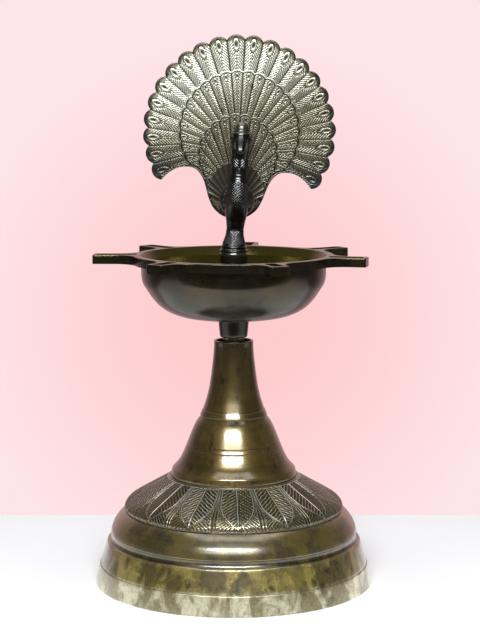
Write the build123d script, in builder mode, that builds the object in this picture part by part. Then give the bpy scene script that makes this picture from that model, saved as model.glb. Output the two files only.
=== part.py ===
from build123d import *
from math import cos, radians, sin
import os

# A standing brass oil lamp. From the floor up it is a stepped hollow foot, a bell-shaped
# stem, a round bowl with seven flat spouts for wicks, and a peacock with its tail spread.
# The four screw together. Units are millimetres and +Z is up. The origin is on the lamp's
# axis, on the surface it stands on, and the peacock looks along -Y.

os.makedirs("parts", exist_ok=True)

# ---------------------------------------------------------------- sizes
running_clearance = 0.05  # radial, between a thread or spigot and its bore

# Foot: three turned bands, a sloping engraved shoulder, and a flat deck for the stem
foot_radius = 156.5
foot_height = 120.0
foot_wall = 5.0
band_1_height = 21.4
band_1_draft = 4.7
band_2_height = 26.9
band_2_step = 1.2
band_2_draft = 7.7
cove_height = 8.4
cove_depth = 4.6
band_3_height = 25.0
band_3_set_back = 3.9
band_3_draft = 15.5
band_3_bulge = 2.2
groove_height = 2.0
groove_depth = 2.0
shoulder_edge_height = 7.4
shoulder_edge_radius = 8.0
deck_lip_height = 1.0
deck_lip_width = 2.4
deck_gap = 0.5  # between the lip and the stem's foot
deck_thickness = 5.0

# Screwed joint of the foot and the stem
spigot_radius = 50.0
spigot_wall = 6.0
spigot_length = 15.0
collar_wall = 8.0
collar_height = 12.0

# Stem: a foot ring, a flared bell, a raised ring and a slim open neck
stem_height = 154.0
stem_radius = 70.8
stem_wall = 3.6
stem_ring_height = 9.6
stem_ring_draft = 2.0
stem_floor = 8.0
bell_height = 59.5
bell_top_radius = 36.7
collar_ring_height = 6.6
collar_ring_radius = 37.7
collar_ring_draft = 2.4
neck_radius = 22.0
neck_wall = 2.6
bell_line_places = (0.42, 0.495)  # of two engraved lines, as shares of the way up the bell's side
bell_line_radius = 0.6

# Tapped bush in the stem's neck, and the stud that screws into it
bush_recess = 6.0
bush_height = 18.0
bush_ledge = 3.4
bush_lead_in = 12.0  # the neck's bore narrows to the ledge over this height
stud_radius = 9.5
stud_shank_radius = 12.4
stud_shank_length = 9.7
stud_grip = 16.0  # how far the stud reaches into the post

# Boss under the bowl, and the bowl itself
boss_height = 22.3
boss_bottom_radius = 15.3
boss_top_radius = 17.7
bowl_height = 70.2
bowl_radius = 103.1
bowl_flat_radius = 34.0
bowl_wall = 3.6
bowl_bend_height = 55.0  # where the curved wall has turned upright
flange_width = 8.9
flange_thickness = 10.0
flange_inner_chamfer = 4.2

# Spouts, set by hand: the angle of each from +X, and how far it reaches from the axis
spout_places = (
    (-14.0, 151.0),
    (36.0, 157.0),
    (83.0, 157.0),
    (132.0, 156.0),
    (179.0, 156.8),
    (234.0, 143.0),
    (290.5, 142.0),
)
spout_width = 21.0
spout_corner_radius = 2.5
spout_root_radius = 26.0
trough_width = 13.0
trough_depth = 2.5
trough_border = 4.5
flange_edge_radius = 1.2
notch_width = 10.0
notch_depth = 8.0

# Post in the bowl, and the finial's stud
post_height = 69.6
post_radius = 15.2
finial_stud_radius = 5.0
finial_stud_length = 15.0
finial_stud_grip = 11.0

# Peacock: heights are measured along its leaning axis, from the top of the post
finial_lean = 3.8
finial_foot_height = 2.5
finial_foot_radius = 15.9
waist_height = 24.0
waist_radius = 9.2
leg_height = 38.0
leg_radius = 11.8
breast_height = 62.0
breast_radius = 13.5
neck_bottom_height = 82.0
bird_neck_radius = 8.9
body_height = 58.0
body_radius = 19.3
body_set_back = 6.0
head_height = 124.5
head_radius = 9.3
crown_height = 133.5
crown_radius = 8.6
crest_height = 144.5
crest_radius = 6.9
eye_radius = 3.4
eye_spread = 9.3
bill_length = 19.0
bill_root_radius = 5.4
bill_tip_radius = 2.4
bill_droop = 42.0

# Tail: a cast plate behind the bird, in four steps of relief
tail_seat = 14.0  # the bird's flat back, behind the lamp's axis
tail_centre_x = 6.5
tail_centre_height = 132.1
tail_tilt = 3.6
tail_radius = 107.5
feather_count = 22
feather_spacing = 11.35
feather_tip_radius = 11.7
middle_tier_radius = 69.0
middle_scallop_radius = 9.0
inner_tier_radius = 45.6
inner_tier_drop = 24.5
shell_radius = 32.0
shell_drop = 64.5
arch_top = (58.0, -43.3)  # crown of the opening under each side of the fan
arch_side = (33.5, -62.0)
shell_side = (26.5, -82.0)
shell_foot_drop = 97.3
tier_step = 1.2
tail_thickness = 3.0

rivet_radius = 2.0
rivet_head_radius = 3.6
rivet_head_height = 1.6
rivet_grip = 7.0
rivet_spread = 7.0

# ---------------------------------------------------------------- levels, from the floor up
deck_z = foot_height
stem_top_z = deck_z + stem_height
bush_top_z = stem_top_z - bush_recess
bush_bottom_z = bush_top_z - bush_height
boss_bottom_z = bush_top_z + stud_shank_length
bowl_bottom_z = boss_bottom_z + boss_height
bowl_floor_z = bowl_bottom_z + bowl_wall
rim_z = bowl_bottom_z + bowl_height
flange_z = rim_z - flange_thickness
post_top_z = bowl_floor_z + post_height
flange_radius = bowl_radius + flange_width
shell_thickness = tail_thickness + 3 * tier_step
tail_back = tail_seat + shell_thickness


def turned(outline):
    """Revolves a closed outline of (radius, height) points about the lamp's axis."""
    with BuildPart() as piece:
        with BuildSketch(Plane.XZ):
            Polygon(*outline, align=None)
        revolve(axis=Axis.Z)
    return piece


def ring(outer_radius, inner_radius, bottom, top):
    """A plain turned ring or tube."""
    with BuildPart() as piece:
        with BuildSketch(Plane.XY.offset(bottom)):
            Circle(outer_radius)
            Circle(inner_radius, mode=Mode.SUBTRACT)
        extrude(amount=top - bottom)
    return piece


def finish(piece, name):
    piece.part.label = name
    export_step(piece.part, f"parts/{name}.step")


# ---------------------------------------------------------------- foot
band_1_top = foot_radius - band_1_draft
band_2_bottom = band_1_top - band_2_step
band_2_top = band_2_bottom - band_2_draft
band_3_bottom = band_2_top - band_3_set_back
band_3_top = band_3_bottom - band_3_draft
band_2_top_z = band_1_height + band_2_height
band_3_z = band_2_top_z + cove_height
band_3_top_z = band_3_z + band_3_height
shoulder_z = band_3_top_z + groove_height
shoulder_corner_z = shoulder_z + shoulder_edge_height
deck_radius = stem_radius + deck_gap + deck_lip_width

with BuildPart() as base_foot:
    with BuildSketch(Plane.XZ) as foot_profile:
        with BuildLine():
            Polyline(
                (0, 0),
                (foot_radius, 0),
                (band_1_top, band_1_height),
                (band_2_bottom, band_1_height),
                (band_2_top, band_2_top_z),
            )
            cove_foot = (band_3_bottom, band_3_z)
            ThreePointArc(
                (band_2_top, band_2_top_z),
                (band_2_top - cove_depth, band_2_top_z + cove_height / 2),
                cove_foot,
            )
            bulge_r = (band_3_bottom + band_3_top) / 2 + band_3_bulge
            bulge_z = (band_3_z + band_3_top_z) / 2 + band_3_bulge
            ThreePointArc(cove_foot, (bulge_r, bulge_z), (band_3_top, band_3_top_z))
            Polyline(
                (band_3_top, band_3_top_z),
                (band_3_top - groove_depth, band_3_top_z),
                (band_3_top - groove_depth, shoulder_z),
                (band_3_top, shoulder_z),
                (band_3_top, shoulder_corner_z),
                (deck_radius, deck_z),
                (deck_radius, deck_z + deck_lip_height),
                (deck_radius - deck_lip_width, deck_z + deck_lip_height),
                (deck_radius - deck_lip_width, deck_z),
                (0, deck_z),
                (0, 0),
            )
        make_face()
        shoulder_edge = (band_3_top, shoulder_corner_z)
        edge_corner = foot_profile.vertices().sort_by_distance(shoulder_edge)[0]
        fillet(edge_corner, radius=shoulder_edge_radius)
    revolve(axis=Axis.Z)
    # the hollow follows the outside, one wall inside it
    with BuildSketch(Plane.XZ):
        Polygon(
            (0, 0),
            (foot_radius - foot_wall - band_1_draft / 2, 0),
            (band_2_bottom - foot_wall, band_1_height),
            (band_2_top - cove_depth - foot_wall, band_2_top_z),
            (band_3_bottom - foot_wall - band_3_bulge, band_3_z),
            (band_3_top - groove_depth - foot_wall, band_3_top_z - foot_wall),
            (band_3_top - groove_depth - foot_wall, shoulder_z),
            (deck_radius - foot_wall, deck_z - deck_thickness),
            (0, deck_z - deck_thickness),
            align=None,
        )
    revolve(axis=Axis.Z, mode=Mode.SUBTRACT)
    with BuildSketch(Plane.XY.offset(deck_z)):
        Circle(spigot_radius + running_clearance)
    extrude(amount=-deck_thickness, mode=Mode.SUBTRACT)
finish(base_foot, "base_foot")

# Tapped collar brazed under the deck
base_collar = ring(
    spigot_radius + collar_wall,
    spigot_radius + running_clearance,
    deck_z - deck_thickness - collar_height,
    deck_z - deck_thickness,
)
finish(base_collar, "base_collar")

# ---------------------------------------------------------------- stem
# Threaded ring in the stem's foot, which screws down through the deck into the collar
stem_spigot = ring(
    spigot_radius,
    spigot_radius - spigot_wall,
    deck_z - spigot_length,
    deck_z + stem_floor,
)
finish(stem_spigot, "stem_spigot")

bell_z = deck_z + stem_ring_height
bell_top_z = bell_z + bell_height
neck_z = bell_top_z + collar_ring_height
bell_bottom_radius = stem_radius - stem_ring_draft
neck_bottom_radius = collar_ring_radius - collar_ring_draft - 1


def bell_curve(inset):
    """Points down the bell's wall, from its crown to its flared skirt."""
    shape = ((0.0, 1.0), (0.28, 0.757), (0.507, 0.442), (0.765, 0.129), (1.0, 0.0))
    spread = bell_bottom_radius - bell_top_radius
    return [(bell_top_radius + k * spread - inset, bell_z + h * bell_height) for k, h in shape]


def neck_curve(inset):
    """Points up the neck, from the raised ring to the open top."""
    shape = ((1.0, 0.0), (0.43, 0.32), (0.06, 0.77), (0.0, 1.0))
    spread = neck_bottom_radius - neck_radius
    height = stem_top_z - neck_z
    return [(neck_radius + k * spread - inset, neck_z + h * height) for k, h in shape]


bush_radius = neck_radius - neck_wall
ledge_radius = bush_radius - bush_ledge
hollow_bell = bell_curve(stem_wall)
hollow_neck = neck_curve(stem_wall)[:2]

with BuildPart() as stem_column:
    with BuildSketch(Plane.XZ):
        with BuildLine():
            Line((0, deck_z), (stem_radius, deck_z))
            Line((stem_radius, deck_z), (bell_bottom_radius, bell_z))
            bell_side = Spline(*reversed(bell_curve(0)))
            Polyline(
                (bell_top_radius, bell_top_z),
                (collar_ring_radius, bell_top_z),
                (collar_ring_radius - collar_ring_draft, neck_z),
                (neck_bottom_radius, neck_z),
            )
            Spline(*neck_curve(0))
            Polyline((neck_radius, stem_top_z), (0, stem_top_z), (0, deck_z))
        make_face()
        with Locations(*[bell_side @ place for place in bell_line_places]):
            Circle(bell_line_radius, mode=Mode.SUBTRACT)
    revolve(axis=Axis.Z)
    # the hollow: bell, neck, and a ledge that the bush sits on
    with BuildSketch(Plane.XZ):
        with BuildLine():
            cavity_floor_z = deck_z + stem_floor
            skirt = (hollow_bell[-1][0] - stem_wall, cavity_floor_z)
            Polyline((0, cavity_floor_z), skirt, hollow_bell[-2])
            Spline(*reversed(hollow_bell[:-1]))
            Line(hollow_bell[0], hollow_neck[0])
            Polyline(
                *hollow_neck,
                (ledge_radius, bush_bottom_z - bush_lead_in),
                (ledge_radius, bush_bottom_z),
                (bush_radius, bush_bottom_z),
                (bush_radius, stem_top_z),
                (0, stem_top_z),
                (0, cavity_floor_z),
            )
        make_face()
    revolve(axis=Axis.Z, mode=Mode.SUBTRACT)
    with BuildSketch(Plane.XY.offset(deck_z)):
        Circle(spigot_radius + running_clearance)
    extrude(amount=stem_floor, mode=Mode.SUBTRACT)
finish(stem_column, "stem_column")

neck_bush = ring(bush_radius, stud_radius + running_clearance, bush_bottom_z, bush_top_z)
finish(neck_bush, "neck_bush")

# ---------------------------------------------------------------- bowl
stud_top_z = bowl_floor_z + stud_grip

# Stud: thread, plain shank with a shoulder that seats on the bush, and a stalk up to the post
bowl_stud = turned(
    (
        (0, bush_bottom_z),
        (stud_radius, bush_bottom_z),
        (stud_radius, bush_top_z),
        (stud_shank_radius, bush_top_z),
        (stud_shank_radius, boss_bottom_z),
        (stud_radius, boss_bottom_z),
        (stud_radius, stud_top_z),
        (0, stud_top_z),
    )
)
finish(bowl_stud, "bowl_stud")

bowl_boss = turned(
    (
        (stud_radius + running_clearance, boss_bottom_z),
        (boss_bottom_radius, boss_bottom_z),
        (boss_top_radius, bowl_bottom_z),
        (stud_radius + running_clearance, bowl_bottom_z),
    )
)
finish(bowl_boss, "bowl_boss")


def bowl_curve(wall):
    """Points along the bowl's wall, moved in by a wall as its normal turns from down to out."""
    shape = ((0.0, 0.0), (0.438, 0.07), (0.729, 0.28), (0.922, 0.60), (1.0, 1.0))
    spread = bowl_radius - bowl_flat_radius
    points = []
    for step, (k, h) in enumerate(shape):
        turn = radians(90 * step / (len(shape) - 1))
        radius = bowl_flat_radius + k * spread - wall * sin(turn)
        points.append((radius, bowl_bottom_z + h * bowl_bend_height + wall * cos(turn)))
    return points


with BuildPart() as bowl_pan:
    with BuildSketch(Plane.XZ):
        with BuildLine():
            outside = bowl_curve(0)
            Line((0, bowl_bottom_z), outside[0])
            Spline(*outside, tangents=((1, 0), (0, 1)))
            Polyline(outside[-1], (bowl_radius, rim_z), (0, rim_z), (0, bowl_bottom_z))
        make_face()
    revolve(axis=Axis.Z)
    # flat flange with its spouts
    with BuildSketch(Plane.XY.offset(flange_z)) as flange:
        Circle(flange_radius)
        for angle, reach in spout_places:
            with PolarLocations(0, 1, start_angle=angle):
                Rectangle(reach, spout_width, align=(Align.MIN, Align.CENTER))
        spout_ends = flange.vertices().filter_by(
            lambda corner: Vector(corner.X, corner.Y).length > flange_radius + spout_corner_radius
        )
        fillet(spout_ends, radius=spout_corner_radius)
        spout_roots = flange.vertices().filter_by(
            lambda corner: abs(Vector(corner.X, corner.Y).length - flange_radius) < 0.01
        )
        fillet(spout_roots, radius=spout_root_radius)
    extrude(amount=flange_thickness)
    flange_walls = bowl_pan.faces().filter_by(
        lambda face: face.bounding_box().size.Z > flange_thickness - 0.01
        and face.bounding_box().min.Z > flange_z - 0.01
    )
    top_edges = flange_walls.edges().filter_by_position(Axis.Z, rim_z - 0.01, rim_z + 0.01)
    fillet(top_edges, radius=flange_edge_radius)
    # inside, with a chamfer that opens the rim
    with BuildSketch(Plane.XZ):
        with BuildLine():
            inside = bowl_curve(bowl_wall)
            inner_radius = bowl_radius - bowl_wall
            Line((0, bowl_floor_z), inside[0])
            Spline(*inside, tangents=((1, 0), (0, 1)))
            Polyline(
                inside[-1],
                (inner_radius, flange_z),
                (inner_radius + flange_inner_chamfer, rim_z),
                (0, rim_z),
                (0, bowl_floor_z),
            )
        make_face()
    revolve(axis=Axis.Z, mode=Mode.SUBTRACT)
    # trough along each spout
    trough_start = inner_radius + flange_inner_chamfer + trough_border
    with BuildSketch(Plane.XY.offset(rim_z)):
        for angle, reach in spout_places:
            trough_end = reach - trough_border
            with PolarLocations((trough_start + trough_end) / 2, 1, start_angle=angle):
                RectangleRounded(trough_end - trough_start, trough_width, spout_corner_radius)
    extrude(amount=-trough_depth, mode=Mode.SUBTRACT)
    # V notch that lets the wick over the rim
    for angle, reach in spout_places:
        with PolarLocations(trough_start, 1, start_angle=angle):
            with BuildSketch(Plane.YZ):
                Polygon(
                    (-notch_width / 2, rim_z),
                    (notch_width / 2, rim_z),
                    (0, rim_z - notch_depth),
                    align=None,
                )
            extrude(amount=2 * trough_border, both=True, mode=Mode.SUBTRACT)
    Hole(stud_radius + running_clearance)
finish(bowl_pan, "bowl_pan")

# Post screwed down on the stud, tapped at its top for the finial
with BuildPart() as bowl_post:
    with BuildSketch(Plane.XY.offset(bowl_floor_z)):
        Circle(post_radius)
    extrude(amount=post_height)
    with BuildSketch(Plane.XY.offset(bowl_floor_z)):
        Circle(stud_radius + running_clearance)
    extrude(amount=stud_grip, mode=Mode.SUBTRACT)
    with BuildSketch(Plane.XY.offset(post_top_z)):
        Circle(finial_stud_radius + running_clearance)
    extrude(amount=-finial_stud_length, mode=Mode.SUBTRACT)
finish(bowl_post, "bowl_post")

# ---------------------------------------------------------------- finial
finial_stud = turned(
    (
        (0, post_top_z - finial_stud_length),
        (finial_stud_radius, post_top_z - finial_stud_length),
        (finial_stud_radius, post_top_z + finial_stud_grip),
        (0, post_top_z + finial_stud_grip),
    )
)
finish(finial_stud, "finial_stud")

# The bird leans to +X. Its outline is turned about that leaning axis.
lean = radians(finial_lean)
bird_origin = (0, 0, post_top_z)
bird_plane = Plane(origin=bird_origin, x_dir=(cos(lean), 0, -sin(lean)), z_dir=(0, -1, 0))
bird_axis = Axis(bird_origin, (sin(lean), 0, cos(lean)))


def on_bird(side, front, height):
    """A place on the bird, from its distances to the side, to the front and up its axis."""
    return bird_plane.from_local_coords(Vector(side, height, front))


with BuildPart() as peacock:
    with BuildSketch(bird_plane):
        with BuildLine():
            foot_edge = (finial_foot_radius - 2, 1)
            waist = (waist_radius, waist_height)
            leg = (leg_radius, leg_height)
            breast = (breast_radius, breast_height)
            neck_foot = (bird_neck_radius, neck_bottom_height)
            head = (head_radius, head_height)
            crown = (crown_radius, crown_height)
            Polyline((0, crest_height), (0, 1), foot_edge)
            Spline(foot_edge, waist, tangents=((-1, 1), (0, 1)))
            Spline(waist, leg, tangents=((0, 1), (0, 1)))
            Spline(leg, breast, tangents=((0, 1), (0, 1)))
            Spline(breast, neck_foot, tangents=((0, 1), (0, 1)))
            Spline(neck_foot, head, crown, tangents=((0, 1), (-0.2, 1)))
            crest_side = (crest_radius, crest_height - crest_radius / 2)
            Polyline(crown, (crest_radius, crown_height), crest_side)
            Spline(crest_side, (0, crest_height), tangents=((0, 1), (-1, 0)))
        make_face()
    revolve(axis=bird_axis)
    # rump
    with Locations(on_bird(0, -body_set_back, body_height)):
        Sphere(body_radius)
    # eyes
    with Locations(on_bird(-eye_spread, 1, head_height), on_bird(eye_spread, 1, head_height)):
        Sphere(eye_radius)
    # bill, drooping forward from the face
    droop = radians(bill_droop)
    bill_direction = (0, -cos(droop), -sin(droop))
    with Locations(Plane(origin=on_bird(0, head_radius / 3, head_height), z_dir=bill_direction)):
        Cone(
            bill_root_radius,
            bill_tip_radius,
            bill_length,
            align=(Align.CENTER, Align.CENTER, Align.MIN),
        )
    # flat back that the tail is riveted to
    split(bisect_by=Plane.XZ.offset(-tail_seat), keep=Keep.TOP)
    # level foot that sits on the post, drilled for the stud
    with BuildSketch(Plane.XY.offset(post_top_z)):
        Circle(finial_foot_radius)
    extrude(amount=finial_foot_height)
    with BuildSketch(Plane.XY.offset(post_top_z)):
        Circle(finial_stud_radius + running_clearance)
    extrude(amount=finial_stud_grip, mode=Mode.SUBTRACT)

# The tail's plane: origin at the centre of the fan, local Y up the fan, local Z to the front
tilt = radians(tail_tilt)
tail_plane = Plane(
    origin=(tail_centre_x, tail_back, post_top_z + tail_centre_height),
    x_dir=(cos(tilt), 0, -sin(tilt)),
    z_dir=(0, -1, 0),
)
first_feather = 90 - feather_spacing * (feather_count - 1) / 2
fan_end = feather_spacing * feather_count / 2  # from the fan's top to its last edge
quill_radius = tail_radius - feather_tip_radius
fan_tip_radius = tail_radius - feather_tip_radius / 2  # of the point under the last feather


def feather_places(radius):
    """Places at the feathers' tips, on a circle of this radius."""
    return PolarLocations(
        radius, feather_count, start_angle=first_feather, angular_range=fan_end * 2, endpoint=False
    )


with BuildPart() as tail_fan:
    with BuildSketch(tail_plane):
        Circle(quill_radius)
        with feather_places(quill_radius):
            Circle(feather_tip_radius)
    extrude(amount=tail_thickness)
    with BuildSketch(tail_plane):
        Circle(middle_tier_radius - middle_scallop_radius)
        with feather_places(middle_tier_radius - middle_scallop_radius):
            Circle(middle_scallop_radius)
    extrude(amount=tail_thickness + tier_step)
    with BuildSketch(tail_plane):
        with Locations((0, -inner_tier_drop)):
            Circle(inner_tier_radius)
    extrude(amount=tail_thickness + 2 * tier_step)
    with BuildSketch(tail_plane):
        with Locations((0, -shell_drop)):
            Circle(shell_radius)
    extrude(amount=shell_thickness)
    # below its last feathers the fan is open on both sides of the shell
    with BuildSketch(tail_plane):
        with BuildLine():
            reach = 2 * tail_radius
            end_turn = radians(fan_end)
            last_tip = (fan_tip_radius * sin(end_turn), fan_tip_radius * cos(end_turn))
            shell_foot = (0, -shell_foot_drop)
            Spline(last_tip, arch_top, arch_side, shell_side, shell_foot)
            Polyline(
                shell_foot,
                (0, -reach),
                (reach * sin(end_turn), -reach),
                (reach * sin(end_turn), reach * cos(end_turn)),
                last_tip,
            )
        make_face()
        mirror(about=Plane.YZ)
    extrude(amount=shell_thickness, mode=Mode.SUBTRACT)

# Rivets through the tail into the bird's back
rivet_z = post_top_z + breast_height
rivet_x = breast_height * sin(lean)
rivet_plane = Plane(origin=(rivet_x, tail_back, rivet_z), x_dir=(1, 0, 0), z_dir=(0, -1, 0))
rivet_places = [(0, -rivet_spread), (0, rivet_spread)]

with BuildPart() as rivet_holes:
    with BuildSketch(rivet_plane):
        with Locations(*rivet_places):
            Circle(rivet_radius)
    extrude(amount=shell_thickness + rivet_grip)

with BuildPart() as tail_rivets:
    add(rivet_holes.part)
    with BuildSketch(rivet_plane):
        with Locations(*rivet_places):
            Circle(rivet_head_radius)
    extrude(amount=-rivet_head_height)
finish(tail_rivets, "tail_rivets")

with BuildPart() as drilled_peacock:
    add(peacock.part)
    add(rivet_holes.part, mode=Mode.SUBTRACT)
finish(drilled_peacock, "peacock")

with BuildPart() as drilled_tail:
    add(tail_fan.part)
    add(rivet_holes.part, mode=Mode.SUBTRACT)
finish(drilled_tail, "tail_fan")
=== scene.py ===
from functools import partial
from math import cos, pi, radians, sin, sqrt

import bpy
import numpy as np
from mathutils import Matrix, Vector


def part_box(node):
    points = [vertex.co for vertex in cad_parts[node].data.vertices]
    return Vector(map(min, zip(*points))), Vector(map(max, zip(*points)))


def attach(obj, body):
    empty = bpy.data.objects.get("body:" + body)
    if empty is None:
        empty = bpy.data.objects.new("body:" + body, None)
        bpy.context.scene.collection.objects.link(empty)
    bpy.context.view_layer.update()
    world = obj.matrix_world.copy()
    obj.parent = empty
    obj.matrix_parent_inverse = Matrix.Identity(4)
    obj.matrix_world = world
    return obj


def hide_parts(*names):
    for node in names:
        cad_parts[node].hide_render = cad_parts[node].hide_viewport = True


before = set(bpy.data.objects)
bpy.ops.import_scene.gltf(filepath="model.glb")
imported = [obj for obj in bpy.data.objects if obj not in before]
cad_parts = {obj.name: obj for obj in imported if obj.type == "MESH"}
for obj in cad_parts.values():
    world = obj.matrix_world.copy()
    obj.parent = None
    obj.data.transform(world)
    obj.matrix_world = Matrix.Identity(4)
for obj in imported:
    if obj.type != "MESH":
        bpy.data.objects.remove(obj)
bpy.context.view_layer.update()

MM = 0.001


def heights_of(node):
    """The lowest and highest place of a CAD node, in millimetres."""
    low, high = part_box(node)
    return round(low[2] / MM, 3), round(high[2] / MM, 3)


# Heights that the pieces share, taken from the frame
collar_foot, collar_top = heights_of("base_collar")
spigot_foot, spigot_top = heights_of("stem_spigot")
stem_foot, stem_top = heights_of("stem_column")
bush_foot, bush_top = heights_of("neck_bush")
stud_foot, stud_top = heights_of("bowl_stud")
boss_foot, boss_top = heights_of("bowl_boss")
post_foot, post_top = heights_of("bowl_post")
pin_foot, pin_top = heights_of("finial_stud")

# Where the finial stands, and how far back its tail reaches
finial_seat = (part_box("bowl_post")[1] / MM)[2]
tail_back = (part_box("tail_fan")[1] / MM)[1]

# Radii of the screwed joints; each bore is wider than its screw by the running clearance
running_clearance = 0.05
spigot_radius = 50.0
stud_radius = 9.5
pin_radius = 5.0
spigot_bore = spigot_radius + running_clearance
stud_bore = stud_radius + running_clearance
pin_bore = pin_radius + running_clearance
neck_bore = 19.4


# ---------------------------------------------------------------- mesh tools
def make_object(name, vertices, faces, body, slot, material, replaced=(), sharp=35, **attributes):
    """A mesh object in metres from vertices in millimetres, riding on a body."""
    mesh = bpy.data.meshes.new(name)
    mesh.from_pydata((np.asarray(vertices) * MM).tolist(), [], faces)
    turn_outwards(mesh)
    add_attributes(mesh, attributes)
    piece = bpy.data.objects.new(name, mesh)
    bpy.context.scene.collection.objects.link(piece)
    finish_piece(piece, body, material, replaced, sharp)


def add_attributes(mesh, attributes):
    """Stores one number for each vertex under each name, for the materials to read."""
    for key, values in attributes.items():
        layer = mesh.attributes.new(key, "FLOAT", "POINT")
        layer.data.foreach_set("value", np.asarray(values, np.float32).ravel())


def turn_outwards(mesh):
    """Turns the faces of a closed mesh to point outwards, by the sign of its volume."""
    corners = np.empty(len(mesh.vertices) * 3, np.float32)
    mesh.vertices.foreach_get("co", corners)
    mesh.calc_loop_triangles()
    triangles = np.empty(len(mesh.loop_triangles) * 3, np.int32)
    mesh.loop_triangles.foreach_get("vertices", triangles)
    a, b, c = corners.reshape(-1, 3).astype(float)[triangles.reshape(-1, 3)].transpose(1, 0, 2)
    if np.einsum("ij,ij->i", a, np.cross(b, c)).sum() < 0:
        mesh.flip_normals()


def finish_piece(piece, body, material, replaced=(), sharp=35):
    piece.data.shade_smooth()
    piece.data.set_sharp_from_angle(angle=radians(sharp))
    piece.data.materials.clear()
    piece.data.materials.append(material)
    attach(piece, body)
    if replaced:
        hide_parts(*replaced)


def loft(sections, wrap):
    """Faces between closed rings of points.
    Wrapped, the last ring joins the first; otherwise both are capped."""
    count, around = sections.shape[:2]
    index = np.arange(count * around).reshape(count, around)
    start = index if wrap else index[:-1]
    end = np.roll(index, -1, axis=0) if wrap else index[1:]
    quads = np.stack([start, np.roll(start, -1, 1), np.roll(end, -1, 1), end], -1)
    faces = quads.reshape(-1, 4).tolist()
    if not wrap:
        faces.append(index[0][::-1].tolist())
        faces.append(index[-1].tolist())
    return sections.reshape(-1, 3), faces


def smooth_step(low, high, value):
    t = np.clip((value - low) / (high - low), 0, 1)
    return t * t * (3 - 2 * t)


def bump_line(distance, width):
    """A rounded ridge, 1 at its crest, that fades over its width."""
    return np.exp(-((distance / width) ** 2))


def turned_outline(corners, step=1.6, arc_steps=5):
    """An outline of (radius, height, corner radius) with its corners rounded and its runs divided.
    Returns the points and their edge value: 1 on an outer corner, -1 in an inner one."""
    points, edges = [], []
    flat = [np.array(corner[:2], float) for corner in corners]
    for i, corner in enumerate(corners):
        here = flat[i]
        rounding = corner[2] if len(corner) > 2 else 0
        if not rounding or i in (0, len(corners) - 1):
            points.append(here)
            edges.append(0.0)
            continue
        into, out = here - flat[i - 1], flat[i + 1] - here
        cut = min(rounding, np.linalg.norm(into) * 0.45, np.linalg.norm(out) * 0.45)
        into, out = into / np.linalg.norm(into), out / np.linalg.norm(out)
        turn = into[0] * out[1] - into[1] * out[0]
        for k in range(arc_steps + 1):
            t = k / arc_steps
            a, b = here - into * cut, here + out * cut
            points.append(a * (1 - t) ** 2 + here * 2 * t * (1 - t) + b * t * t)
            edges.append(float(np.sign(turn)) * min(1.0, abs(turn) * 1.5))
    dense, values = [points[0]], [edges[0]]
    for i in range(1, len(points)):
        run = np.linalg.norm(points[i] - points[i - 1])
        pieces = max(1, int(np.ceil(run / step)))
        for k in range(1, pieces + 1):
            t = k / pieces
            dense.append(points[i - 1] * (1 - t) + points[i] * t)
            fade = max(0.0, 1 - run * min(t, 1 - t) / 1.2) if pieces > 1 else 1.0
            values.append((edges[i - 1] * (1 - t) + edges[i] * t) * fade)
    return np.array(dense), np.array(values)


def lathe(
    name,
    corners,
    body,
    slot,
    material,
    replaced=(),
    segments=192,
    closed=False,
    thread=None,
    **options,
):
    """A turned piece: the outline goes up the outside, and a closed one comes back down the inside.
    A thread is cut where its radius is met: radius, low, high, pitch and depth."""
    outline, edges = turned_outline(corners + corners[:1] if closed else corners, **options)
    if closed:
        outline, edges = outline[:-1], edges[:-1]
    angle = np.arange(segments) * 2 * pi / segments
    radius, height = outline[:, :1], outline[:, 1:]
    if thread:
        crest, low, high, pitch, depth = thread
        runs = (np.abs(radius - crest) < 0.3) * smooth_step(low, low + pitch, height)
        runs = runs * smooth_step(high, high - 1, height)
        radius = radius - runs * depth * (0.5 - 0.5 * np.cos(2 * pi * height / pitch - angle))
    rings = np.stack(
        [radius * np.cos(angle), radius * np.sin(angle), height + 0 * angle], -1
    )
    vertices, faces = loft(rings, closed)
    edge = np.repeat(edges, segments)
    make_object(name, vertices, faces, body, slot, material, replaced, edge=edge)


# ---------------------------------------------------------------- materials
def noise(tree, vector, scale, detail=4.0, roughness=0.6, distortion=0.0):
    made = tree.nodes.new("ShaderNodeTexNoise")
    made.inputs["Scale"].default_value = scale
    made.inputs["Detail"].default_value = detail
    made.inputs["Roughness"].default_value = roughness
    made.inputs["Distortion"].default_value = distortion
    tree.links.new(vector, made.inputs["Vector"])
    return made.outputs["Fac"]


def ramp(tree, value, *stops):
    """A colour ramp; each stop is (position, grey level or colour)."""
    made = tree.nodes.new("ShaderNodeValToRGB")
    ramp_data = made.color_ramp
    while len(ramp_data.elements) < len(stops):
        ramp_data.elements.new(0.5)
    for element, (position, colour) in zip(ramp_data.elements, stops):
        element.position = position
        grey = isinstance(colour, (int, float))
        element.color = (colour, colour, colour, 1) if grey else (*colour, 1)
    tree.links.new(value, made.inputs["Fac"])
    return made.outputs["Color"]


def mix(tree, factor, first, second, blend="MIX"):
    """Mixes two colours; each may be a socket or a colour."""
    made = tree.nodes.new("ShaderNodeMix")
    made.data_type = "RGBA"
    made.blend_type = blend
    for socket, value in ((0, factor), (6, first), (7, second)):
        if isinstance(value, bpy.types.NodeSocket):
            tree.links.new(value, made.inputs[socket])
        elif isinstance(value, (int, float)):
            made.inputs[socket].default_value = value
        else:
            made.inputs[socket].default_value = (*value, 1)
    return made.outputs[2]


def math_node(tree, operation, first, second=0.0):
    made = tree.nodes.new("ShaderNodeMath")
    made.operation = operation
    for socket, value in enumerate((first, second)):
        if isinstance(value, bpy.types.NodeSocket):
            tree.links.new(value, made.inputs[socket])
        else:
            made.inputs[socket].default_value = value
    return made.outputs[0]


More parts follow.
